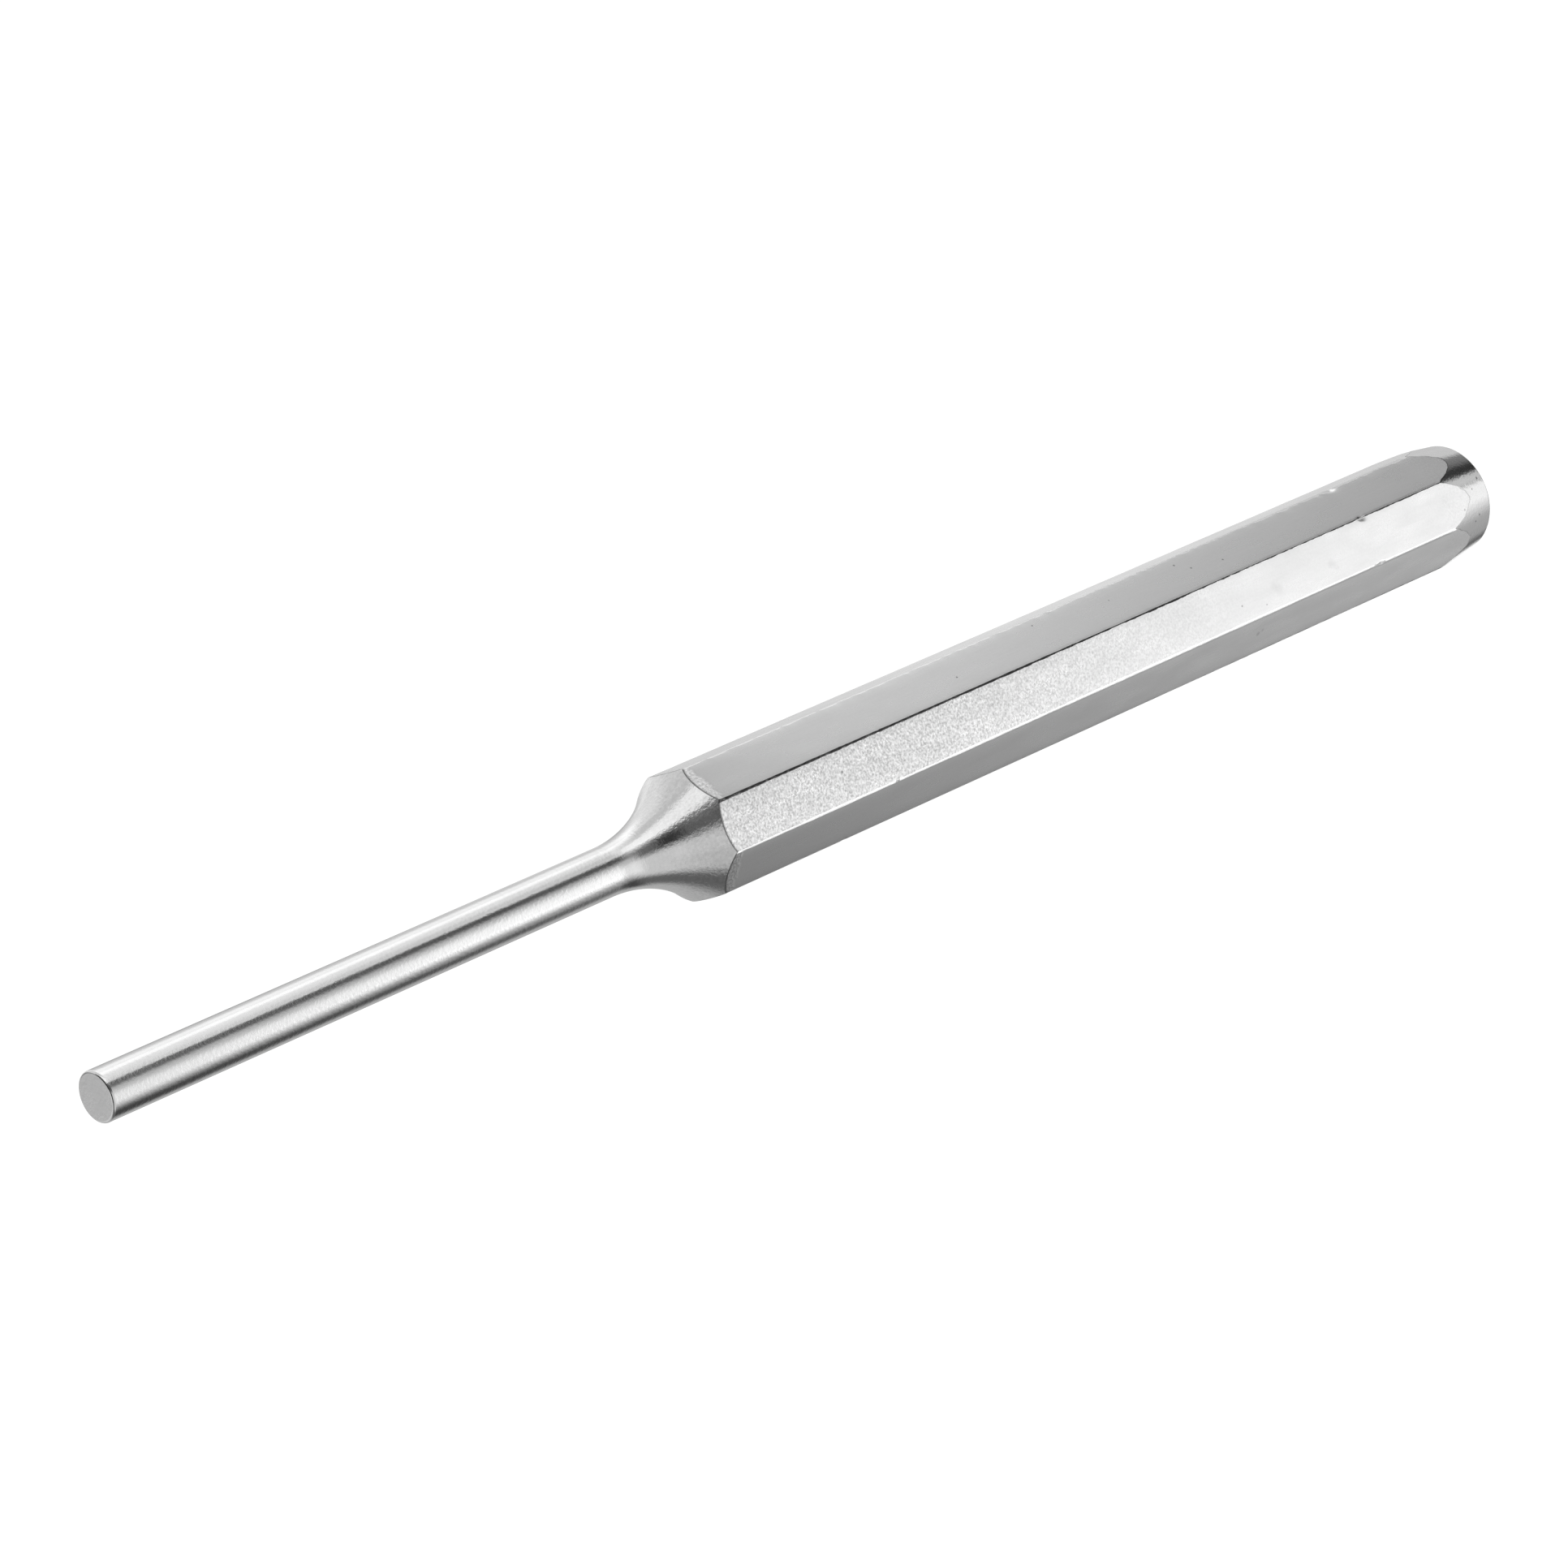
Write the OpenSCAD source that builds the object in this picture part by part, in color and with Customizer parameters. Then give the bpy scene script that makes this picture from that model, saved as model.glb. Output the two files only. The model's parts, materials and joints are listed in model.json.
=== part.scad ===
// Drive pin punch: one bar of octagonal steel, turned down at one end to a round working pin
// that flares into the shank through a hollow neck, and turned to a shallow crown where it is struck.
// The tool lies along X with its tip at -X, resting on one flat of the shank at Z = 0.

/* [Overall] */
// Length over all, from the tip face to the struck face
overall_l = 150; // [120:1:220]

/* [Shank] */
// Width of the octagonal bar across its flats
across_flats = 10; // [8:0.5:16]
// Height that is broken off each long corner of the bar
corner_break = 0.05; // [0.02:0.01:0.2]

/* [Working pin] */
// Diameter of the round working pin
pin_d = 3.9; // [2:0.1:6]
// Straight length of the working pin, from the tip face to the start of the neck
pin_l = 48.8; // [20:0.2:70]
// Radius of the rounded edge between the tip face and the pin
tip_edge_r = 0.2; // [0.05:0.05:0.4]

/* [Neck] */
// Radius of the hollow that flares the pin out into the shank
hollow_r = 13; // [6:0.5:24]
// Radius of the shoulder that turns the hollow back on to the shank
shoulder_r = 1.45; // [0.5:0.05:3]
// How far the crest of the shoulder would stand outside the sharp corners of the bar
shoulder_over = 0.07; // [0.02:0.01:0.2]

/* [Struck end] */
// Length of the crown, from the struck face back to where it meets the corners of the bar
crown_l = 6.3; // [2:0.1:12]
// Slope of the crown towards the axis, in degrees
crown_slope = 7; // [4:0.5:15]
// Radius between the crown and the struck face
crown_edge_r = 0.35; // [0.1:0.05:1]

/* [Hidden] */

$fn = 144;

// The bar has eight equal flats, and turned half a step it rests on one of them
flats = 8;
flat_step = 360 / flats;
corner_sharp_r = across_flats / 2 / cos(flat_step / 2);
corner_r = corner_sharp_r - corner_break;

// Overrun of the bar past both turned ends, so that no two end faces coincide
overrun = 1;

// The hollow and the shoulder are two arcs that touch at the steepest point of the neck
pin_r = pin_d / 2;
crest_r = corner_sharp_r + shoulder_over;
hollow_centre_r = pin_r + hollow_r;
shoulder_centre_r = crest_r - shoulder_r;
neck_angle = acos((hollow_centre_r - shoulder_centre_r) / (hollow_r + shoulder_r));
blend_r = hollow_centre_r - hollow_r * cos(neck_angle);
blend_z = pin_l + hollow_r * sin(neck_angle);
shoulder_z = pin_l + (hollow_r + shoulder_r) * sin(neck_angle);

// The crown is a cone that meets the sharp corners crown_l from the struck face
crown_start_z = overall_l - crown_l - shoulder_over / tan(crown_slope);
crown_edge_z = overall_l - crown_edge_r;
crown_edge_centre_r = corner_sharp_r - (crown_l - crown_edge_r) * tan(crown_slope)
    - crown_edge_r / cos(crown_slope);

// Half of the turned outline, as radius against distance from the tip face
module turned_outline() {
    difference() {
        union() {
            polygon([
                [0, 0],
                [pin_r - tip_edge_r, 0],
                [pin_r, tip_edge_r],
                [pin_r, pin_l],
                [blend_r, blend_z],
                [crest_r, shoulder_z],
                [crest_r, crown_start_z],
                [crown_edge_centre_r + crown_edge_r * cos(crown_slope),
                    crown_edge_z + crown_edge_r * sin(crown_slope)],
                [crown_edge_centre_r, overall_l],
                [0, overall_l]
            ]);
            translate([pin_r - tip_edge_r, tip_edge_r]) circle(r = tip_edge_r);
            translate([shoulder_centre_r, shoulder_z]) circle(r = shoulder_r);
            translate([crown_edge_centre_r, crown_edge_z]) circle(r = crown_edge_r);
        }
        translate([hollow_centre_r, pin_l]) circle(r = hollow_r);
    }
}

// The turned form, with the corners of the bar broken to corner_r
module turned_form() {
    rotate_extrude() intersection() {
        turned_outline();
        square([corner_r, overall_l]);
    }
}

// The octagonal bar that the tool is turned from
module octagonal_bar() {
    translate([0, 0, -overrun])
        rotate([0, 0, flat_step / 2])
            cylinder(r = corner_sharp_r, h = overall_l + 2 * overrun, $fn = flats);
}

// The whole tool, where the turned surfaces cut the flats in scallops at the neck and the crown
module punch() {
    color("silver")
        translate([-overall_l / 2, 0, across_flats / 2])
            rotate([0, 90, 0])
                intersection() {
                    turned_form();
                    octagonal_bar();
                }
}

punch();
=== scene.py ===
import json
import math
import random

import bpy
from mathutils import Matrix, Vector


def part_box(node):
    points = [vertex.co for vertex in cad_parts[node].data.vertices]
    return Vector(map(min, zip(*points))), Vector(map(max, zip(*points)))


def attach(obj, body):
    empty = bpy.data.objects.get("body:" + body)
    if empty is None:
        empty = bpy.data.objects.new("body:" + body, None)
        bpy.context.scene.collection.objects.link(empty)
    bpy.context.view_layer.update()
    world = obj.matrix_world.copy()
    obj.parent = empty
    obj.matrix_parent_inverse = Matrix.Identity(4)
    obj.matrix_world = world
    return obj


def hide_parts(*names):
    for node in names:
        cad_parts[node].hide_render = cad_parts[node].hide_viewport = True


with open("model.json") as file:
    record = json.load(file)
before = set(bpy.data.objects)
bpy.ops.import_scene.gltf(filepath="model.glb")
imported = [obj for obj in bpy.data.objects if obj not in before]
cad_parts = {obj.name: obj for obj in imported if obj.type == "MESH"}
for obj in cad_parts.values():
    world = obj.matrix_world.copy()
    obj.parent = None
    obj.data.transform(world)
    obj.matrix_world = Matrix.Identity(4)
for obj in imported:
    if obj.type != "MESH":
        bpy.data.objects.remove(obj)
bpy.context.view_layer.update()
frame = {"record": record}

# Sizes are in millimetres, and one factor takes them to the frame's metres
MM = 0.001

# Driving sizes of the tool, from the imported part
low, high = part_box("punch")
mounts = {m["name"]: m for m in frame["record"]["mounts"]}
OVERALL_L = (high.x - low.x) / MM
ACROSS_FLATS = (high.z - low.z) / MM
AXIS_HEIGHT = ACROSS_FLATS / 2
TIP_X = low.x / MM
PIN_R = mounts["working_pin"]["dims"]["r_mm"]

# Tip and neck, as the part has them
TIP_EDGE_R = 0.2
PIN_L = 48.8
HOLLOW_R = 13.0
SHOULDER_R = 1.45
SHOULDER_OVER = 0.07

# Struck end, as the part has it
CROWN_L = 6.3
CROWN_SLOPE = math.radians(7)
CROWN_EDGE_R = 0.35

# Bar: its flats bow a little and roll off towards the corners, which are broken by a narrow land
FLATS = 8
HALF_STEP = math.pi / FLATS
CORNER_SHARP_R = ACROSS_FLATS / 2 / math.cos(HALF_STEP)
FLAT_BOWS = (0.010, 0.030, 0.010, 0.010, 0.010, 0.010, 0.010, 0.010)
EDGE_ROLL = 0.025
EDGE_ROLL_POWER = 6
CORNER_BREAK = 0.05
LAND_BULGE = 0.025

# Land on each corner: its width at the neck and at the struck end. Corner k lies between flats k and k + 1
LAND_WIDTHS = [(0.24, 0.09), (0.28, 0.16), (0.08, 0.12), (0.24, 0.20),
               (0.20, 0.24), (0.24, 0.20), (0.20, 0.24), (0.14, 0.22)]
LAND_LEAST = 0.03

# A land that is off its corner: how far towards flat k + 1, at the neck and at the struck end
LAND_OFF = {0: (0.07, -0.04), 1: (0.10, 0.02)}

# How ragged each land is: how far its width wanders, and how long a wander is
LAND_RAGGED = [(0.05, 0.35), (0.035, 0.7), (0.04, 0.7), (0.06, 0.5),
               (0.04, 0.7), (0.08, 0.5), (0.04, 0.7), (0.11, 0.45)]

# The slow change that every land has: least and most that it adds to the width, and how long it is
LAND_DRIFT = (-0.02, 0.04)
LAND_DRIFT_L = 6.0

# The crown's crease with the bar is ragged too: how far it wanders, and how long a wander is
CROWN_RAGGED = (0.16, 0.30)

# Flakes, where a land widens, or narrows by a minus: place from the tip, corner, half length, extra width
FLAKES = [
    (134.10, 7, 0.80, 0.46),
    (131.90, 7, 0.90, 0.14),
    (128.20, 7, 0.60, 0.22),
    (125.30, 7, 0.35, 0.18),
    (138.90, 7, 0.25, 0.18),
    (60.00, 1, 6.00, -0.12),
    (134.35, 1, 0.40, 0.26),
    (142.60, 7, 1.60, 0.16),
    (96.40, 3, 0.45, 0.24),
    (111.90, 5, 0.40, 0.26),
]

# Dents: place from the tip, corner that it is next to, distance round from it, half length, half width, depth
DENTS = [
    (133.55, 0, 0.05, 0.26, 0.16, 0.13),
    (133.15, 0, 0.16, 0.14, 0.10, -0.04),
    (134.10, 7, 0.18, 0.32, 0.15, 0.10),
    (134.35, 1, 0.10, 0.34, 0.18, 0.05),
    (133.80, 1, 0.06, 0.30, 0.10, 0.03),
    (75.30, 1, -0.06, 0.10, 0.12, 0.05),
    (70.60, 2, 0.0, 0.20, 0.12, 0.04),
    (118.40, 3, 0.0, 0.30, 0.14, 0.05),
    (91.20, 4, 0.05, 0.25, 0.15, 0.05),
    (127.90, 5, 0.0, 0.35, 0.16, 0.06),
    (101.70, 6, 0.0, 0.22, 0.12, 0.04),
]

# How far along from its place a dent is counted, and the depth from which it turns the surface
DENT_REACH = 0.9
DENT_LEAST = 0.002

# Grain, from fine at 0 to coarse at 1: of each flat at the neck and at the struck end, and where it fades
FLAT_GRAIN = [(0.02, 0.02), (1.00, 0.04), (0.03, 0.02), (0.30, 0.06),
              (0.10, 0.60), (0.06, 0.05), (0.70, 0.10), (0.05, 0.05)]
GRAIN_FADES = (82, 118)

# Grain of the pin, and of the neck and the lands, where one turns to the other, and grain of the crown
TURNED_GRAIN = (0.10, 0.90)
NECK_COARSENS = (51, 56)
CROWN_GRAIN = 0.15

# Painted shade on a land, and in the start or the end of a flat beside its land, at the neck and at the
# struck end
PAINTED_EDGE_SHADE = {("land", 0): (1.0, 0.5), ("end", 0): (0.0, 0.32), ("start", 2): (0.02, 0.35),
        ("land", 7): (0.12, 0.14), ("land", 2): (0.35, 0.2)}

# Between which shares of the half flat the painted shade beside a land lies
PAINTED_SHADE_BESIDE = (0.94, 0.995)

# Painted shade in the creases: on the bar's first rings at the neck, and where the crown meets the bar
NECK_CREASE_PAINTED_SHADE = (1.0, 1.0, 0.25)
CROWN_CREASE_PAINTED_SHADE = 0.5

# Painted shade on a flat near the neck: how dark it is at the neck, and where it ends
NECK_PAINTED_SHADE = {0: (0.36, 90)}


# Turned outline

CREST_R = CORNER_SHARP_R + SHOULDER_OVER
HOLLOW_CENTRE_R = PIN_R + HOLLOW_R
SHOULDER_CENTRE_R = CREST_R - SHOULDER_R
NECK_ANGLE = math.acos((HOLLOW_CENTRE_R - SHOULDER_CENTRE_R) / (HOLLOW_R + SHOULDER_R))
BLEND_Z = PIN_L + HOLLOW_R * math.sin(NECK_ANGLE)
SHOULDER_Z = PIN_L + (HOLLOW_R + SHOULDER_R) * math.sin(NECK_ANGLE)
CROWN_Z = OVERALL_L - CROWN_L
CROWN_EDGE_Z = OVERALL_L - CROWN_EDGE_R
CROWN_EDGE_CENTRE_R = (CORNER_SHARP_R - (CROWN_L - CROWN_EDGE_R) * math.tan(CROWN_SLOPE)
                       - CROWN_EDGE_R / math.cos(CROWN_SLOPE))
CONE_END_Z = CROWN_EDGE_Z + CROWN_EDGE_R * math.sin(CROWN_SLOPE)


def neck_r(z):
    """Radius of the turned neck at z from the tip."""
    if z <= BLEND_Z:
        return HOLLOW_CENTRE_R - math.sqrt(HOLLOW_R ** 2 - (z - PIN_L) ** 2)
    return SHOULDER_CENTRE_R + math.sqrt(SHOULDER_R ** 2 - (SHOULDER_Z - min(z, SHOULDER_Z)) ** 2)


def neck_z(r):
    """Where the turned neck reaches radius r."""
    if r <= neck_r(BLEND_Z):
        return PIN_L + math.sqrt(HOLLOW_R ** 2 - (HOLLOW_CENTRE_R - r) ** 2)
    return SHOULDER_Z - math.sqrt(SHOULDER_R ** 2 - (r - SHOULDER_CENTRE_R) ** 2)


def neck_tilt(z):
    """How far the neck's surface leans back towards the tip at z."""
    if z <= BLEND_Z:
        return -math.asin((z - PIN_L) / HOLLOW_R)
    return -math.asin((SHOULDER_Z - z) / SHOULDER_R)


def crown_r(z):
    """Radius of the crown's cone at z from the tip."""
    return CORNER_SHARP_R - (z - CROWN_Z) * math.tan(CROWN_SLOPE)


def crown_z(r):
    """Where the crown's cone has radius r."""
    return CROWN_Z + (CORNER_SHARP_R - r) / math.tan(CROWN_SLOPE)


# Small unevenness of a worn tool

# Seeds of the random lines, and the knots that each has past its last whole spacing
DRIFT_SEED = 31
RAGGED_SEED = 71
CROWN_SEED = 5
SPARE_KNOTS = 3


def wander(seed, spacing, smallest, largest, length=OVERALL_L):
    """A smooth random line over a length: a function of the place along it."""
    rng = random.Random(seed)
    knots = [rng.uniform(smallest, largest) for _ in range(int(length / spacing) + SPARE_KNOTS)]

    def value(place):
        at = max(place, 0) / spacing
        index = int(at)
        share = at - index
        share = share * share * (3 - 2 * share)
        return knots[index] * (1 - share) + knots[index + 1] * share
    return value


LAND_SLOW = [wander(DRIFT_SEED + k, LAND_DRIFT_L, *LAND_DRIFT) for k in range(FLATS)]
LAND_QUICK = [wander(RAGGED_SEED + k, length, -most, most) for k, (most, length) in enumerate(LAND_RAGGED)]
CROWN_WANDER = wander(CROWN_SEED, CROWN_RAGGED[1], -CROWN_RAGGED[0], CROWN_RAGGED[0],
                      2 * math.pi * CORNER_SHARP_R)


def share_between(value, start, end):
    """How far value is on the way from start to end, held between 0 and 1."""
    return min(max((value - start) / (end - start), 0), 1)


def blend(ends, share):
    """The value a share of the way from the first of two ends to the second."""
    return ends[0] + share * (ends[1] - ends[0])


def flat_angle(flat):
    """Angle round the axis of the middle of a flat. Flat 0 faces +Z."""
    return 2 * HALF_STEP * flat


def corner_angle(corner):
    """Angle round the axis of a corner of the bar."""
    return 2 * HALF_STEP * corner + HALF_STEP


def land_angles(corner, z):
    """How far the land on corner k reaches on to flat k and on to flat k + 1, seen from the axis."""
    along = share_between(z, PIN_L, OVERALL_L)
    width = blend(LAND_WIDTHS[corner], along) + LAND_SLOW[corner](z) + LAND_QUICK[corner](z)
    width += sum(extra * math.exp(-((z - at) / half_length) ** 2)
                 for at, flaked, half_length, extra in FLAKES if flaked == corner)
    half = max(LAND_LEAST, width) / 2
    off = min(max(blend(LAND_OFF.get(corner, (0, 0)), along), -half), half)
    return (half - off) / CORNER_SHARP_R, (half + off) / CORNER_SHARP_R


def coarseness(column, z):
    """How coarse the grain is in a column of the mesh at z."""
    kind, k, _ = column
    if z > CROWN_Z:
        return CROWN_GRAIN
    if z < SHOULDER_Z or kind == "land":
        return blend(TURNED_GRAIN, share_between(z, *NECK_COARSENS))
    return blend(FLAT_GRAIN[k], share_between(z, *GRAIN_FADES))


def painted_shade(column, z):
    """How dark the painted shade makes the bar in a column of the mesh at z, from 0 to 1."""
    kind, k, share = column
    if not SHOULDER_Z < z < CROWN_Z:
        return 0
    where = kind
    if kind == "flat" and PAINTED_SHADE_BESIDE[0] < abs(share) < PAINTED_SHADE_BESIDE[1]:
        where = "end" if share > 0 else "start"
    dark = blend(PAINTED_EDGE_SHADE.get((where, k), (0, 0)), share_between(z, PIN_L, OVERALL_L))
    # Painted shade on a flat, darkest at the neck
    if kind == "flat" and k in NECK_PAINTED_SHADE:
        most, end = NECK_PAINTED_SHADE[k]
        dark += most * (max(end - z, 0) / (end - SHOULDER_Z)) ** 2
    return dark


def dent_depth(z, angle):
    """How far the dents push the bar's surface in at a place."""
    depth = 0
    for at, corner, off, half_length, half_width, deep in DENTS:
        if abs(z - at) > DENT_REACH:
            continue
        centre = corner_angle(corner) + off / CORNER_SHARP_R
        across = ((angle - centre + math.pi) % (2 * math.pi) - math.pi) * CORNER_SHARP_R
        depth += deep * math.exp(-((z - at) / half_length) ** 2 - (across / half_width) ** 2)
    return depth


# Mesh of the tool, as rings of points round the axis

# Columns across a flat, and across a land, where -1 and 1 are the edges of either
FLAT_STEPS = 20
LAND_SHARES = (-0.5, 0, 0.5)

# Rings: at shares of the radius of an end face, at places from the tip on the pin, and in steps elsewhere
FACE_SHARES = (0.35, 0.7, 0.93)
EDGE_STEPS = 6
PIN_RINGS = (0.3, 0.6, 1, 2, 4, 8, 14, 20, 26, 32, 38, 43, 46, 47.5, 48.3, 48.6)
NECK_STEPS = 48
NECK_STEPS_POWER = 1.5
SHANK_STEPS = 340
SHANK_END_SHARES = (0.0008, 0.0018)
CROWN_STEPS = 18

# Extra rings on either side of a dent
DENT_RINGS = 6
DENT_RING_GAP = 0.10

FINISHES = ("turned", "flat", "land", "face")


def columns():
    """Each column of the mesh, as a kind, the number of its flat or corner, and a share across that."""
    made = []
    for k in range(FLATS):
        for i in range(FLAT_STEPS + 1):
            made.append(("flat", k, math.sin(math.pi / 2 * (2 * i / FLAT_STEPS - 1))))
        made += [("land", k, share) for share in LAND_SHARES]
    return made


COLUMNS = columns()
COUNT = len(COLUMNS)


def bar_point(column, z):
    """Angle and radius of the octagonal bar in a column, at z."""
    kind, k, share = column
    before, after = land_angles(k, z)
    if kind == "land":
        edge = ACROSS_FLATS / 2 - EDGE_ROLL
        angle = corner_angle(k) + share * (after if share > 0 else before)
        r_before = (edge - FLAT_BOWS[k]) / math.cos(HALF_STEP - before)
        r_after = (edge - FLAT_BOWS[(k + 1) % FLATS]) / math.cos(HALF_STEP - after)
        r = (r_before * (1 - share) + r_after * (1 + share)) / 2 + LAND_BULGE * (1 - share ** 2)
        r = min(r, CORNER_SHARP_R - CORNER_BREAK)
    else:
        start = land_angles((k - 1) % FLATS, z)[1]
        off = share * (HALF_STEP - (before if share > 0 else start))
        angle = flat_angle(k) + off
        fall = FLAT_BOWS[k] * share ** 2 + EDGE_ROLL * share ** EDGE_ROLL_POWER
        r = (ACROSS_FLATS / 2 - fall) / math.cos(off)
    return angle, r - dent_depth(z, angle)


def neck_crease(column):
    """Where the neck meets the bar in a column: z, angle and radius."""
    angle, r = bar_point(column, SHOULDER_Z)
    return neck_z(r), angle, r


def crown_crease(column):
    """Where the crown meets the bar in a column: z, angle and radius."""
    angle, r = bar_point(column, CROWN_Z)
    return crown_z(r) + CROWN_WANDER((angle % (2 * math.pi)) * CORNER_SHARP_R), angle, r


def on_round(column, z, r, tilt, beside):
    """A place on a round ring, with the column at the angle that it has on the bar at beside."""
    return z, bar_point(column, beside)[0], r, tilt


def on_neck(column, share):
    """A place on the neck, a share of the way from the pin to the crease."""
    z_end, angle, _ = neck_crease(column)
    z = PIN_L + share * (z_end - PIN_L)
    return z, angle, neck_r(z), neck_tilt(z)


def on_bar(column, share):
    """A place on the bar, a share of the way from the neck's crease to the crown's."""
    z_start = neck_crease(column)[0]
    z = z_start + share * (crown_crease(column)[0] - z_start)
    angle, r = bar_point(column, z)
    return z, angle, r, None


def on_crown(column, share, tilt):
    """A place on the crown, a share of the way from its crease to its rounded edge."""
    z_start, angle, r_start = crown_crease(column)
    z = z_start + share * (CONE_END_Z - z_start)
    r = r_start + (crown_r(CONE_END_Z) - r_start) * (z - z_start) / (CONE_END_Z - z_start)
    return z, angle, r, tilt


def ring_at(place, *numbers):
    """The points of a ring, where place gives z, angle, radius and the tilt of a turned surface."""
    points = []
    for column in COLUMNS:
        z, angle, r, tilt = place(column, *numbers)
        point = (TIP_X + z, -r * math.sin(angle), AXIS_HEIGHT + r * math.cos(angle))
        normal = None
        if tilt is not None:
            across = math.cos(tilt)
            normal = (math.sin(tilt), -across * math.sin(angle), across * math.cos(angle))
        points.append((point, normal))
    return points


def shank_shares():
    """Shares along the bar at which it has a ring, closer together at both ends and round the dents."""
    start = neck_z(ACROSS_FLATS / 2)
    length = OVERALL_L - start - CROWN_L / 2
    shares = {i / SHANK_STEPS for i in range(1, SHANK_STEPS)}
    shares |= set(SHANK_END_SHARES) | {1 - share for share in SHANK_END_SHARES}
    for dent in DENTS:
        middle = (dent[0] - start) / length
        shares |= {middle + i * DENT_RING_GAP / length for i in range(-DENT_RINGS, DENT_RINGS + 1)}
    kept = []
    for share in sorted(shares):
        if not kept or (share - kept[-1]) * length > DENT_RING_GAP / 2:
            kept.append(share)
    return kept


def rings():
    """The rings from the tip face to the struck face, each with the finish of the band after it."""
    quarter = math.pi / 2
    made = []

    def add(finish, place, *numbers):
        made.append((ring_at(place, *numbers), finish))

    for share in FACE_SHARES:
        add("face", on_round, 0, share * (PIN_R - TIP_EDGE_R), -quarter, SHOULDER_Z)
    for i in range(EDGE_STEPS + 1):
        a = quarter * i / EDGE_STEPS
        z = TIP_EDGE_R * (1 - math.cos(a))
        r = PIN_R - TIP_EDGE_R * (1 - math.sin(a))
        add("turned", on_round, z, r, a - quarter, SHOULDER_Z)
    for z in PIN_RINGS:
        add("turned", on_round, z, PIN_R, 0, SHOULDER_Z)

    for i in range(NECK_STEPS + 1):
        share = 1 - (1 - i / NECK_STEPS) ** NECK_STEPS_POWER
        add("turned" if i < NECK_STEPS else "bar", on_neck, share)
    for share in shank_shares():
        add("bar", on_bar, share)
    for i in range(CROWN_STEPS + 1):
        add("turned", on_crown, i / CROWN_STEPS, CROWN_SLOPE if i else None)

    for i in range(1, EDGE_STEPS + 1):
        a = CROWN_SLOPE + (quarter - CROWN_SLOPE) * i / EDGE_STEPS
        z = CROWN_EDGE_Z + CROWN_EDGE_R * math.sin(a)
        r = CROWN_EDGE_CENTRE_R + CROWN_EDGE_R * math.cos(a)
        add("turned" if i < EDGE_STEPS else "face", on_round, z, r, a, CROWN_Z)
    for share in reversed(FACE_SHARES):
        add("face", on_round, OVERALL_L, share * CROWN_EDGE_CENTRE_R, quarter, CROWN_Z)
    return made


def faces_of(made):
    """The faces, the finish of each, and the corner of each face of a land.

    Point 0 is the middle of the tip face. The points of the rings follow it in order, and the last point
    is the middle of the struck face.
    """
    sides = [(j, (j + 1) % COUNT) for j in range(COUNT)]
    faces = [(0, 1 + k, 1 + j) for j, k in sides]
    finishes = ["face"] * COUNT
    corner_of_face = {}
    for i, (_, finish) in enumerate(made[:-1]):
        base = 1 + i * COUNT
        for j, k in sides:
            found = finish
            if finish == "bar":
                found = "flat" if COLUMNS[j][0] == COLUMNS[k][0] == "flat" else "land"
            if found == "land":
                corner_of_face[len(faces)] = COLUMNS[j][1]
            faces.append((base + j, base + k, base + COUNT + k, base + COUNT + j))
            finishes.append(found)
    last = 1 + (len(made) - 1) * COUNT
    faces += [(last + j, last + k, last + COUNT) for j, k in sides]
    finishes += ["face"] * COUNT
    return faces, finishes, corner_of_face


def corner_normal(corner):
    """The way that the land on a corner faces."""
    angle = corner_angle(corner)
    return 0, -math.sin(angle), math.cos(angle)


def set_exact_normals(mesh, exact, corner_of_face):
    """Gives turned faces the normals of their curve and lands those of their corner, apart from dents."""
    normals = [tuple(n.vector) for n in mesh.corner_normals]
    for face in mesh.polygons:
        if FINISHES[face.material_index] == "flat":
            continue
        land = corner_of_face.get(face.index)
        for corner, vertex in zip(face.loop_indices, face.vertices):
            if land is not None:
                z = mesh.vertices[vertex].co.x / MM - TIP_X
                if abs(dent_depth(z, corner_angle(land))) < DENT_LEAST:
                    normals[corner] = corner_normal(land)
            elif exact[vertex]:
                normals[corner] = exact[vertex]
    mesh.normals_split_custom_set(normals)


def set_point_values(mesh, name, values):
    """Gives each point of the mesh a value, under the name that a material reads."""
    attribute = mesh.attributes.new(name, "FLOAT", "POINT")
    attribute.data.foreach_set("value", values)


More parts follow.
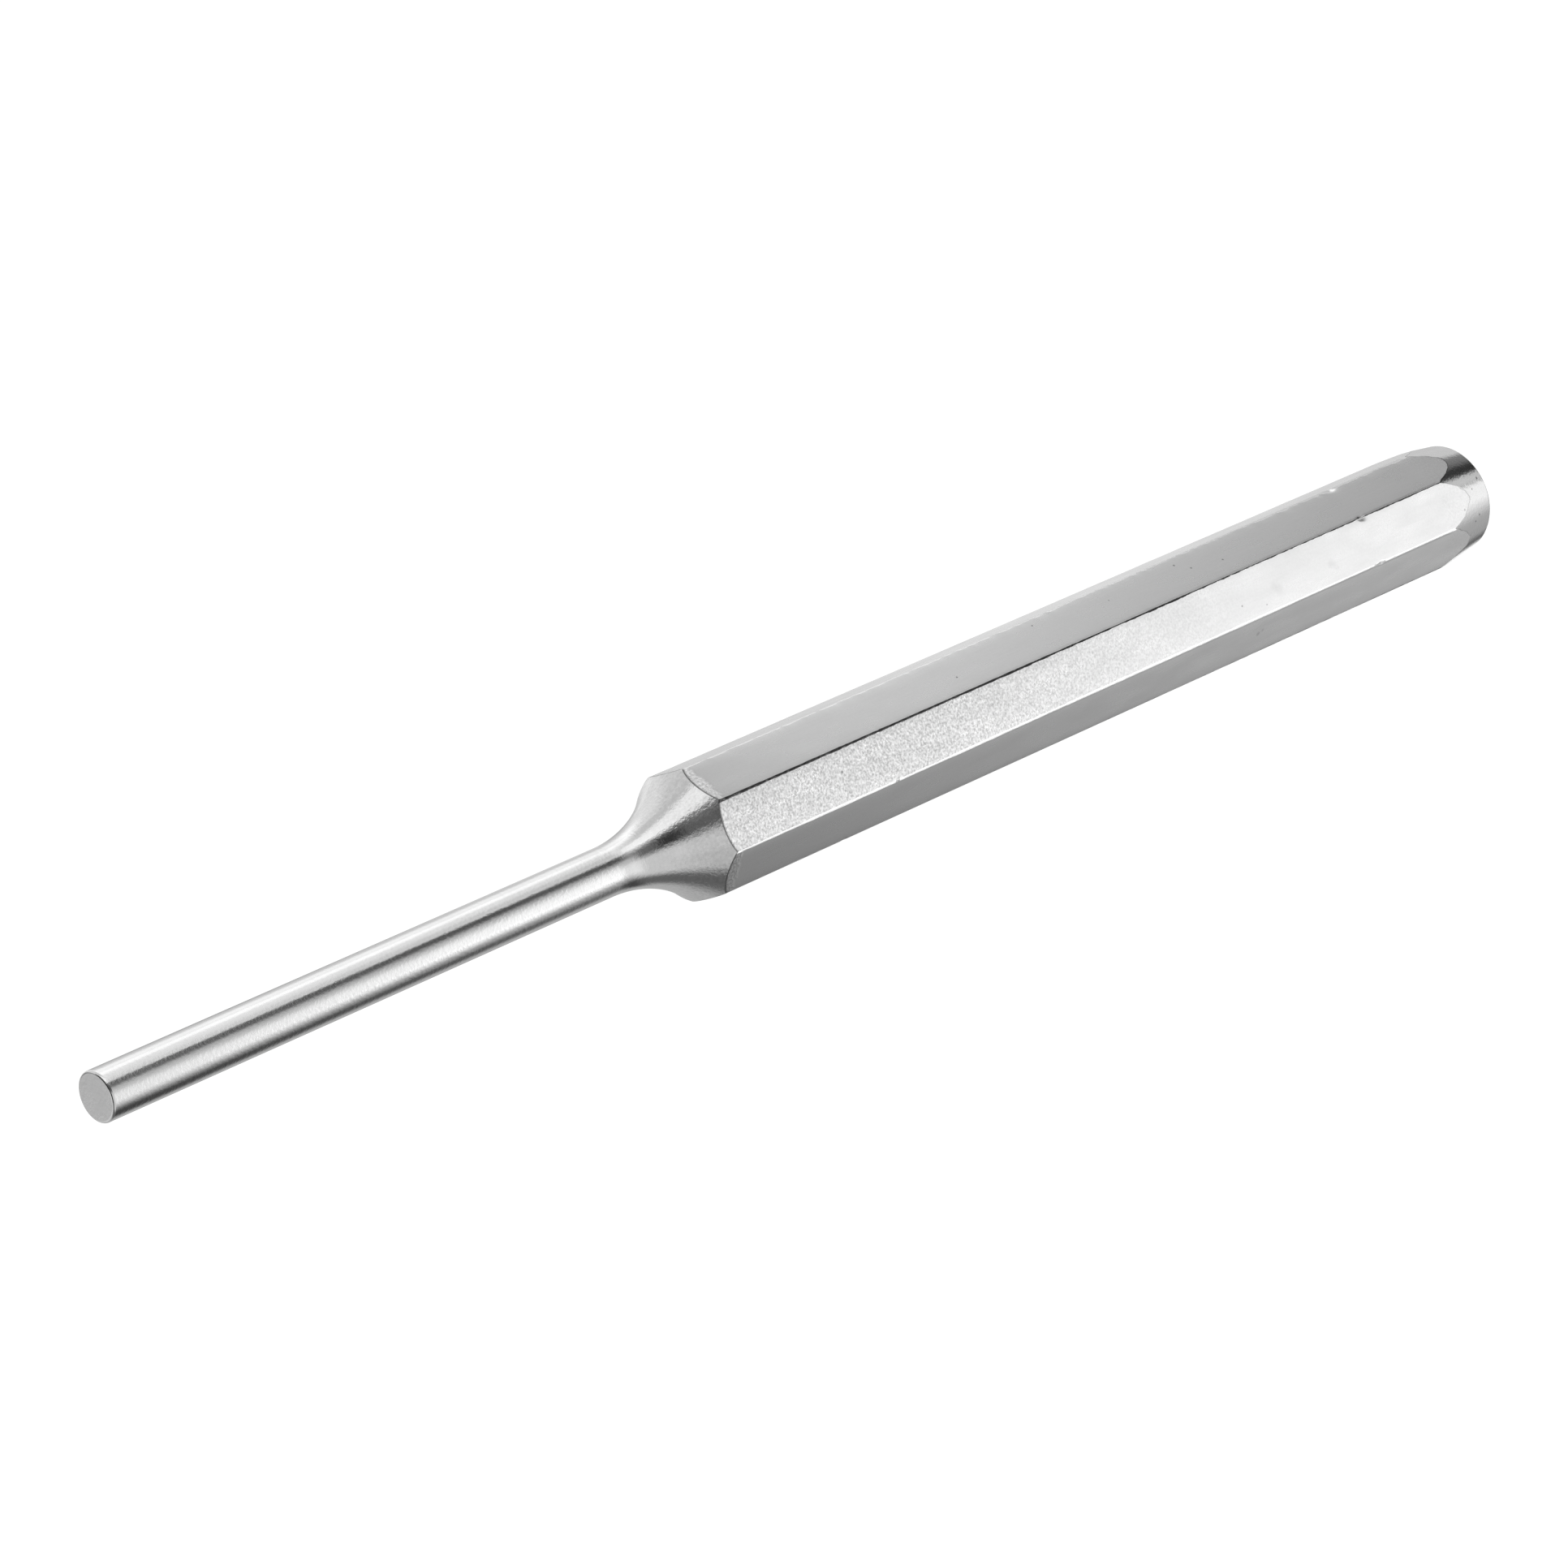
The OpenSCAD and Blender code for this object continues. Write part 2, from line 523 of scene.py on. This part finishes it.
def build_punch(finish_of):
    """The tool's mesh object, with finish_of giving the material of each finish."""
    made = rings()
    points = [((TIP_X, 0, AXIS_HEIGHT), (-1, 0, 0))]
    for ring, _ in made:
        points += ring
    points.append(((TIP_X + OVERALL_L, 0, AXIS_HEIGHT), (1, 0, 0)))
    faces, finishes, corner_of_face = faces_of(made)

    mesh = bpy.data.meshes.new("punch_steel")
    mesh.from_pydata([tuple(c * MM for c in p) for p, _ in points], [], faces)
    for name in FINISHES:
        mesh.materials.append(finish_of[name])
    mesh.polygons.foreach_set("material_index", [FINISHES.index(f) for f in finishes])
    mesh.polygons.foreach_set("use_smooth", [True] * len(faces))

    # The crease between the neck and the bar is sharp
    bar_rings = [i for i, (_, finish) in enumerate(made) if finish == "bar"]
    crease = range(1 + bar_rings[0] * COUNT, 1 + (bar_rings[0] + 1) * COUNT)
    sharp = [e.vertices[0] in crease and e.vertices[1] in crease for e in mesh.edges]
    attribute = mesh.attributes.new("sharp_edge", "BOOLEAN", "EDGE")
    attribute.data.foreach_set("value", sharp)
    mesh.update()
    set_exact_normals(mesh, [normal for _, normal in points], corner_of_face)

    places = [(COLUMNS[(i - 1) % COUNT], p[0] - TIP_X) for i, (p, _) in enumerate(points)]
    # Painted shade on the lands, beside them and on a flat near the neck
    dark = [painted_shade(column, z) for column, z in places]
    # Painted shade in the creases at the neck and where the crown meets the bar
    creases = list(zip(bar_rings, NECK_CREASE_PAINTED_SHADE)) + [(bar_rings[-1] + 1, CROWN_CREASE_PAINTED_SHADE)]
    for ring, darkness in creases:
        start = 1 + ring * COUNT
        dark[start:start + COUNT] = [darkness] * COUNT
    set_point_values(mesh, "coarse", [coarseness(column, z) for column, z in places])
    # The painted shade goes to the materials under the name crease
    set_point_values(mesh, "crease", dark)

    piece = bpy.data.objects.new("punch_steel", mesh)
    bpy.context.scene.collection.objects.link(piece)
    return piece


# Node helpers

NOISE_ROUGHNESS = 0.55


class Graph:
    """Adds nodes to a material or world, and joins them."""

    def __init__(self, tree):
        self.tree = tree
        self.tree.nodes.clear()

    def node(self, kind, **inputs):
        n = self.tree.nodes.new(kind)
        for name, value in inputs.items():
            self.put(n, name.replace("_", " "), value)
        return n

    def put(self, n, name, value):
        socket = n.inputs[name]
        if isinstance(value, bpy.types.NodeSocket):
            self.tree.links.new(value, socket)
        else:
            socket.default_value = value

    def math(self, operation, *values):
        n = self.tree.nodes.new("ShaderNodeMath")
        n.operation = operation
        for i, value in enumerate(values):
            self.put(n, i, value)
        return n.outputs[0]

    def vector(self, operation, first, second, output="Vector"):
        n = self.tree.nodes.new("ShaderNodeVectorMath")
        n.operation = operation
        self.put(n, 0, first)
        self.put(n, 1, second)
        return n.outputs[output]

    def step(self, value, start, end):
        """0 before start and 1 after end, smooth between them."""
        n = self.tree.nodes.new("ShaderNodeMapRange")
        n.interpolation_type = "SMOOTHSTEP"
        self.put(n, "Value", value)
        self.put(n, "From Min", start)
        self.put(n, "From Max", end)
        return n.outputs["Result"]

    def rise(self, value, at, blur):
        """0 before a place and 1 after it, with an edge as soft as its blur."""
        return self.step(value, at - blur / 2, at + blur / 2)

    def fall(self, value, at, blur):
        """1 before a place and 0 after it, with an edge as soft as its blur."""
        return self.step(value, at + blur / 2, at - blur / 2)

    def span(self, value, start, end, low, high):
        """Takes start to end over to low to high, and holds the ends."""
        n = self.tree.nodes.new("ShaderNodeMapRange")
        self.put(n, "Value", value)
        self.put(n, "From Min", start)
        self.put(n, "From Max", end)
        self.put(n, "To Min", low)
        self.put(n, "To Max", high)
        return n.outputs["Result"]

    def attribute(self, name):
        """A value that the mesh holds at each point."""
        n = self.tree.nodes.new("ShaderNodeAttribute")
        n.attribute_name = name
        return n.outputs["Fac"]

    def noise(self, place, size, detail):
        """Noise with features of about size millimetres along x, y and z, from 0 to 1."""
        scaled = self.vector("MULTIPLY", place, tuple(1 / (s * MM) for s in size))
        n = self.node("ShaderNodeTexNoise", Vector=scaled, Scale=1.0, Detail=detail,
                      Roughness=NOISE_ROUGHNESS)
        return n.outputs[0]


# Finishes

# How bright each finish is
STEEL_TINT = 0.74
TURNED_TINT = 0.77
LAND_TINT = 0.88

# Between which values most of a noise lies, for clouds and lines and for the grain
NOISE_MIDDLE = (0.3, 0.7)
GRAIN_MIDDLE = (0.25, 0.75)

# Clouds: their size, and how far they change the shade and the roughness
CLOUD_SIZE = (5.0, 1.6, 1.6)
CLOUD_SHADE = 0.015
CLOUD_ROUGH = 0.02

# Lines left by turning and grinding: how far they change the shade
LINE_SHADE = 0.012

# Coarse grain: the depth that it adds, and its shade. Fine grain still has a little speckle
COARSE_GRAIN = 14.0
COARSE_SHADE = 0.92
LEAST_SPECKLE = 0.03

# Painted shade at its darkest, shade of a pit, and where a pit's soft edge starts and ends, in radii
CREASE_SHADE = 0.25
PIT_SHADE = 0.35
PIT_EDGE = (0.3, 1.3)

# Pits and smudges on flats: place from the tip, distance across from a flat's middle, flat, radius, shade
MARKS = [
    (85.6, 0.42, 0, 0.10, PIT_SHADE),
    (96.2, -1.30, 0, 0.09, PIT_SHADE),
    (113.3, -1.18, 0, 0.11, PIT_SHADE),
    (114.4, -0.23, 0, 0.10, PIT_SHADE),
    (117.8, 0.28, 0, 0.10, PIT_SHADE),
    (104.6, -0.55, 0, 0.07, PIT_SHADE),
    (133.4, 1.96, 0, 0.14, 0.15),
    (70.1, -0.24, 1, 0.13, PIT_SHADE),
    (116.9, 0.64, 1, 0.10, 0.5),
    (119.7, 1.36, 1, 0.08, 0.5),
    (121.6, 0.60, 1, 0.50, 0.93),
    (121.1, 0.25, 1, 0.42, 0.94),
    (128.4, 0.48, 1, 0.46, 0.93),
    (128.9, 0.90, 1, 0.36, 0.94),
    (146.0, 0.88, 1, 0.12, 0.6),
    (119.0, -0.15, 2, 0.25, 0.75),
    (119.5, -0.35, 2, 0.20, 0.85),
]

# Pits on the crown: place from the tip, angle round the axis in degrees, radius
CROWN_PITS = [
    (149.1, 31.0, 0.14),
    (147.8, 39.4, 0.09),
    (148.1, 66.9, 0.10),
    (147.5, 71.9, 0.10),
    (148.6, 150.0, 0.12),
    (147.9, 221.0, 0.10),
    (148.9, 290.0, 0.12),
]

# The flats that face away get pits of their own, within these places, distances across and radii
HIDDEN_FLATS = (3, 4, 5, 6)
PITS_EACH = 5
HIDDEN_ALONG = (62, 142)
HIDDEN_ACROSS = (-1.8, 1.8)
HIDDEN_RADII = (0.07, 0.13)
HIDDEN_SEED = 17


def hidden_pits():
    """Pits on the flats that face away, in the form of MARKS."""
    rng = random.Random(HIDDEN_SEED)
    made = []
    for flat in HIDDEN_FLATS:
        for _ in range(PITS_EACH):
            along = rng.uniform(*HIDDEN_ALONG)
            across = rng.uniform(*HIDDEN_ACROSS)
            made.append((along, across, flat, rng.uniform(*HIDDEN_RADII), PIT_SHADE))
    return made


def flat_place(along, across, flat):
    """A point of a flat, from its place along the tool and across the flat."""
    angle = flat_angle(flat)
    middle = Vector((0, -math.sin(angle), math.cos(angle)))
    side = Vector((0, -math.cos(angle), -math.sin(angle)))
    point = middle * ACROSS_FLATS / 2 + side * across
    return (TIP_X + along) * MM, point.y * MM, (AXIS_HEIGHT + point.z) * MM


def crown_place(along, angle):
    """A point of the crown, from its place along the tool and the angle round its axis."""
    r = crown_r(along)
    return (TIP_X + along) * MM, -r * math.sin(angle) * MM, (AXIS_HEIGHT + r * math.cos(angle)) * MM


def steel(name, roughness, tint, grain, grain_size, streak, streak_size, speckled=0.0, pits=()):
    """Bare plated steel: grain and streak are depths in thousandths of a millimetre."""
    material = bpy.data.materials.new(name)
    material.use_nodes = True
    g = Graph(material.node_tree)
    place = g.node("ShaderNodeTexCoord").outputs["Object"]
    coarse = g.attribute("coarse")
    fine = g.noise(place, (grain_size, grain_size, grain_size), 3.0)
    lines = g.noise(place, streak_size, 2.0)
    cloud = g.noise(place, CLOUD_SIZE, 3.0)

    # The clouds give the first shade, which speckle, lines, coarse grain, the painted shade and pits multiply
    speckle_depth = g.math("MULTIPLY", g.math("ADD", coarse, LEAST_SPECKLE), speckled)
    speckle = g.math("MULTIPLY", g.span(fine, *GRAIN_MIDDLE, -1, 1), speckle_depth)
    factors = [
        g.math("ADD", speckle, 1),
        g.span(lines, *NOISE_MIDDLE, 1 - LINE_SHADE, 1 + LINE_SHADE),
        g.span(coarse, 0, 1, 1, COARSE_SHADE),
        # Painted shade, which the mesh holds under the name crease
        g.span(g.attribute("crease"), 0, 1, 1, CREASE_SHADE),
    ]
    for point, r, least in pits:
        distance = g.vector("DISTANCE", place, point, "Value")
        clear = g.step(distance, r * PIT_EDGE[0] * MM, r * PIT_EDGE[1] * MM)
        factors.append(g.span(clear, 0, 1, least, 1))
    shade = g.span(cloud, *NOISE_MIDDLE, tint * (1 - CLOUD_SHADE), tint * (1 + CLOUD_SHADE))
    for factor in factors:
        shade = g.math("MULTIPLY", shade, factor)

    depth = g.math("MULTIPLY", fine, g.math("MULTIPLY_ADD", coarse, COARSE_GRAIN, grain))
    height = g.math("MULTIPLY_ADD", lines, streak, depth)
    bump = g.node("ShaderNodeBump", Strength=1.0, Distance=MM * MM, Height=height)
    rough = g.span(cloud, *NOISE_MIDDLE, roughness + CLOUD_ROUGH, roughness - CLOUD_ROUGH)
    colour = g.node("ShaderNodeCombineColor", Red=shade, Green=shade, Blue=shade).outputs[0]
    shader = g.node("ShaderNodeBsdfPrincipled", Base_Color=colour, Metallic=1.0, Roughness=rough,
                    Normal=bump.outputs[0])
    g.node("ShaderNodeOutputMaterial", Surface=shader.outputs[0])
    return material


FLAT_MARKS = [(flat_place(z, across, flat), r, least) for z, across, flat, r, least in MARKS + hidden_pits()]
CROWN_MARKS = [(crown_place(z, math.radians(angle)), r, PIT_SHADE) for z, angle, r in CROWN_PITS]

finish_of = {
    "turned": steel("turned_steel", roughness=0.13, tint=TURNED_TINT, grain=8.0, grain_size=0.26,
                    streak=1.5, streak_size=(0.25, 3.0, 3.0), speckled=0.12, pits=CROWN_MARKS),
    "flat": steel("ground_steel", roughness=0.28, tint=STEEL_TINT, grain=0.5, grain_size=0.20,
                  streak=0.3, streak_size=(4.0, 0.2, 0.2), speckled=0.42, pits=FLAT_MARKS),
    "land": steel("worn_corner", roughness=0.08, tint=LAND_TINT, grain=1.0, grain_size=0.3,
                  streak=0.5, streak_size=(2.0, 0.2, 0.2)),
    "face": steel("faced_steel", roughness=0.28, tint=STEEL_TINT, grain=14.0, grain_size=0.3,
                  streak=0.0, streak_size=(1.0, 1.0, 1.0)),
}

punch = build_punch(finish_of)
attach(punch, "root")
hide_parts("punch")


# Floor, which glows as white as the background

FLOOR_SIZE = 4.0
FLOOR_SHADE = 0.12
WHITE = (1, 1, 1, 1)


def white_floor():
    bpy.ops.mesh.primitive_plane_add(size=FLOOR_SIZE)
    made = bpy.context.object
    made.name = "floor"
    made.visible_glossy = False
    material = bpy.data.materials.new("pale_floor")
    material.use_nodes = True
    g = Graph(material.node_tree)
    glow = g.node("ShaderNodeEmission", Color=WHITE, Strength=1.0)
    paper = g.node("ShaderNodeBsdfDiffuse", Color=(FLOOR_SHADE, FLOOR_SHADE, FLOOR_SHADE, 1))
    both = g.tree.nodes.new("ShaderNodeAddShader")
    g.put(both, 0, glow.outputs[0])
    g.put(both, 1, paper.outputs[0])
    g.node("ShaderNodeOutputMaterial", Surface=both.outputs[0])
    made.data.materials.append(material)
    return made


floor = white_floor()


# Studio light: soft panels along the tool, each placed by its turn and its lean

# Turn is the angle round the tool's axis, from the side that faces the camera, over the front and down.
# Lean is the angle from +X
ZERO_TILT = math.radians(37.86)
TOWARDS = (0, -math.sin(ZERO_TILT), math.cos(ZERO_TILT))
AROUND = (0, -math.cos(ZERO_TILT), -math.sin(ZERO_TILT))
HALF_TURN = 180
FULL_TURN = 360

# Each panel, in degrees: turn from, its blur, turn to, its blur, lean from, to and blur, slant of its edges,
# and then its brightness, which adds up where panels overlap
PANELS = [
    (-181, 12, -146, 12, 0, 44, 5, 0, 0.58),
    (-181, 12, -146, 12, 44, 53.5, 5, 0, 0.72),
    (-181, 12, -146, 12, 53.5, 60, 5, 0, 0.40),
    (-181, 12, -146, 12, 60, 100, 10, 0, 0.80),
    (-195, 16, -146, 16, 43, 49, 4, 0, 0.17),
    (-136, 12, -106, 12, 45.5, 49, 3, 0, 0.16),
    (-146, 16, -96, 16, 0, 60, 10, 0, 0.66),
    (-146, 16, -96, 16, 60, 136, 10, 0, 0.76),
    (-122, 24, -80, 16, 48, 70, 12, 0, 0.48),
    (-80, 14, -56, 12, 55, 70, 7, 0, 0.13),
    (-90, 12, -66, 12, 56, 64, 4, 0, 0.10),
    (-92, 12, -60, 14, 49, 57, 4, 0, 0.10),
    (-102, 12, -58, 12, 46.5, 52.5, 3, 0, 0.14),
    (-160, 16, -90, 16, 64, 90, 8, 0, 0.14),
    (-86, 12, -50, 12, 52, 57, 3, 0, 0.16),
    (-96, 8, -35.9, 9, 43.3, 136, 13, 0, 0.60),
    (-96, 8, -35.9, 9, 51, 136, 8, 0, 0.05),
    (-46, 8, -32, 8, 45, 54, 6, 0, 0.12),
    (-36, 10, -22, 10, 45, 56, 6, 0, 0.04),
    (-96, 20, -64, 20, 0, 47, 10, 0, 0.065),
    (-104, 24, -72, 24, 0, 36, 6, 0, 0.06),
    (-104, 20, -62, 14, 0, 35, 6, 0, 0.07),
    (-58, 8, -22, 14, 58, 136, 8, -0.31, 0.42),
    (-44, 8, -22, 10, 88, 136, 8, 0, 0.08),
    (-30, 16, 6, 18, 104, 136, 14, 0, 0.10),
    (-50, 30, 2, 24, 62, 86, 10, 0, 0.12),
    (-12, 10, 4, 14, 46, 63, 8, 0, 0.12),
    (8, 14, 44, 16, 92, 136, 16, 0, 0.10),
    (8, 14, 50, 14, 61, 72, 4, 0, 0.08),
    (2.5, 10, 28, 10, 0, 47, 10, 1.2, 0.66),
    (26, 12, 70, 16, 0, 37, 6, 0, 0.08),
    (-8, 12, 50, 50, 0, 38, 12, 0, 1.05),
    (0, 14, 60, 14, 38, 48, 8, 0, 1.22),
    (0, 14, 52, 14, 30, 44, 6, 0, 0.14),
    (52, 40, 120, 40, 0, 38, 12, 0, 0.32),
    (52, 40, 96, 40, 0, 38, 12, 0, 0.12),
    (58, 20, 120, 20, 38, 47.5, 10, 0, 0.66),
    (-2, 64, 71, 52, 48, 68, 10, -0.4, 0.86),
    (50, 8, 67, 8, 34, 48, 5, 0, 0.25),
    (28, 12, 52, 12, 45, 53, 5, 0, 0.08),
    (66, 14, 96, 14, 44, 55, 6, 0, 0.12),
    (96, 20, 132, 20, 46, 52.5, 4, 0, 0.04),
    (50, 20, 84, 14, 61, 70, 3, 0, 0.16),
    (92, 16, 134, 16, 0, 38, 6, 0, 0.04),
    (110, 14, 150, 20, 0, 39, 6, 0, 0.10),
    (10, 24, 56, 24, 46.5, 55, 8, 0, 0.34),
    (48, 10, 70, 10, 46, 53, 5, 0, 0.36),
    (7, 24, 84, 24, 68, 136, 10, 0, 0.58),
    (7, 24, 84, 24, 68, 98, 30, 0, 0.10),
    (156, 12, 185, 12, 30, 46, 8, 0, 0.60),
    (146, 16, 185, 16, 0, 47, 10, 0, 0.46),
    (124, 26, 185, 26, 47, 55, 5, 0, 0.46),
    (131, 26, 185, 26, 55, 62.5, 5, 0, 0.46),
    (124, 26, 185, 26, 62.5, 180, 5, 0, 0.46),
    (140, 20, 215, 20, 104, 180, 24, 0, 0.24),
    (86, 20, 124, 20, 46, 56, 8, 0, 0.07),
    (86, 20, 124, 20, 61, 180, 8, 0, 0.11),
]

# The lean at which a slanted panel has the turns that its row gives
SLANT_FROM = 60
BASE_LIGHT = 0.035


def studio():
    """A world that lights the tool by the panels and is white behind it."""
    world = bpy.data.worlds.new("studio")
    world.use_nodes = True
    bpy.context.scene.world = world
    g = Graph(world.node_tree)
    direction = g.node("ShaderNodeTexCoord").outputs["Generated"]
    turn = g.math("ARCTAN2", g.vector("DOT_PRODUCT", direction, AROUND, "Value"),
                  g.vector("DOT_PRODUCT", direction, TOWARDS, "Value"))
    turn = g.math("MULTIPLY", turn, math.degrees(1))
    lean = g.math("ARCCOSINE", g.vector("DOT_PRODUCT", direction, (1, 0, 0), "Value"))
    lean = g.math("MULTIPLY", lean, math.degrees(1))
    total = BASE_LIGHT
    for turn_0, blur_0, turn_1, blur_1, lean_0, lean_1, lean_blur, slant, bright in PANELS:
        place = turn
        if slant:
            place = g.math("MULTIPLY_ADD", g.math("SUBTRACT", lean, SLANT_FROM), -slant, turn)
        part = g.math("SUBTRACT", g.rise(place, turn_0, blur_0), g.rise(place, turn_1, blur_1))
        if turn_0 < -HALF_TURN:
            part = g.math("ADD", part, g.rise(place, turn_0 + FULL_TURN, blur_0))
        if turn_1 > HALF_TURN:
            part = g.math("ADD", part, g.fall(place, turn_1 - FULL_TURN, blur_1))
        if lean_0 > 0:
            part = g.math("MULTIPLY", part, g.rise(lean, lean_0, lean_blur))
        if lean_1 < HALF_TURN:
            part = g.math("MULTIPLY", part, g.fall(lean, lean_1, lean_blur))
        total = g.math("MULTIPLY_ADD", part, bright, total)
    panels = g.node("ShaderNodeBackground", Color=WHITE, Strength=total)
    backdrop = g.node("ShaderNodeBackground", Color=WHITE, Strength=1.0)
    seen = g.node("ShaderNodeLightPath").outputs["Is Camera Ray"]
    mix = g.node("ShaderNodeMixShader", Fac=seen)
    g.put(mix, 1, panels.outputs[0])
    g.put(mix, 2, backdrop.outputs[0])
    g.node("ShaderNodeOutputWorld", Surface=mix.outputs[0])


studio()


# Camera

CAMERA_AZIMUTH = math.radians(-54.39)
CAMERA_ELEVATION = math.radians(36.74)
CAMERA_ROLL = math.radians(16.02)
CAMERA_DISTANCE = 448.8
CAMERA_AIM = (-6.03, 0.74, 5.0)
CAMERA_FOCAL = 134.68
CAMERA_SENSOR = 36
CAMERA_NEAR = 10


def camera():
    """Looks at the tool from where the photo was taken."""
    data = bpy.data.cameras.new("camera")
    data.lens = CAMERA_FOCAL
    data.sensor_width = CAMERA_SENSOR
    data.clip_start = CAMERA_NEAR * MM
    made = bpy.data.objects.new("camera", data)
    back = Vector((math.sin(CAMERA_AZIMUTH) * math.cos(CAMERA_ELEVATION),
                   -math.cos(CAMERA_AZIMUTH) * math.cos(CAMERA_ELEVATION),
                   math.sin(CAMERA_ELEVATION)))
    level = back.to_track_quat("Z", "Y").to_matrix()
    rolled = level @ Matrix.Rotation(CAMERA_ROLL, 3, "Z")
    place = (Vector(CAMERA_AIM) + back * CAMERA_DISTANCE) * MM
    made.matrix_world = Matrix.Translation(place) @ rolled.to_4x4()
    bpy.context.scene.collection.objects.link(made)
    bpy.context.scene.camera = made


camera()
bpy.context.scene.view_settings.view_transform = "Standard"
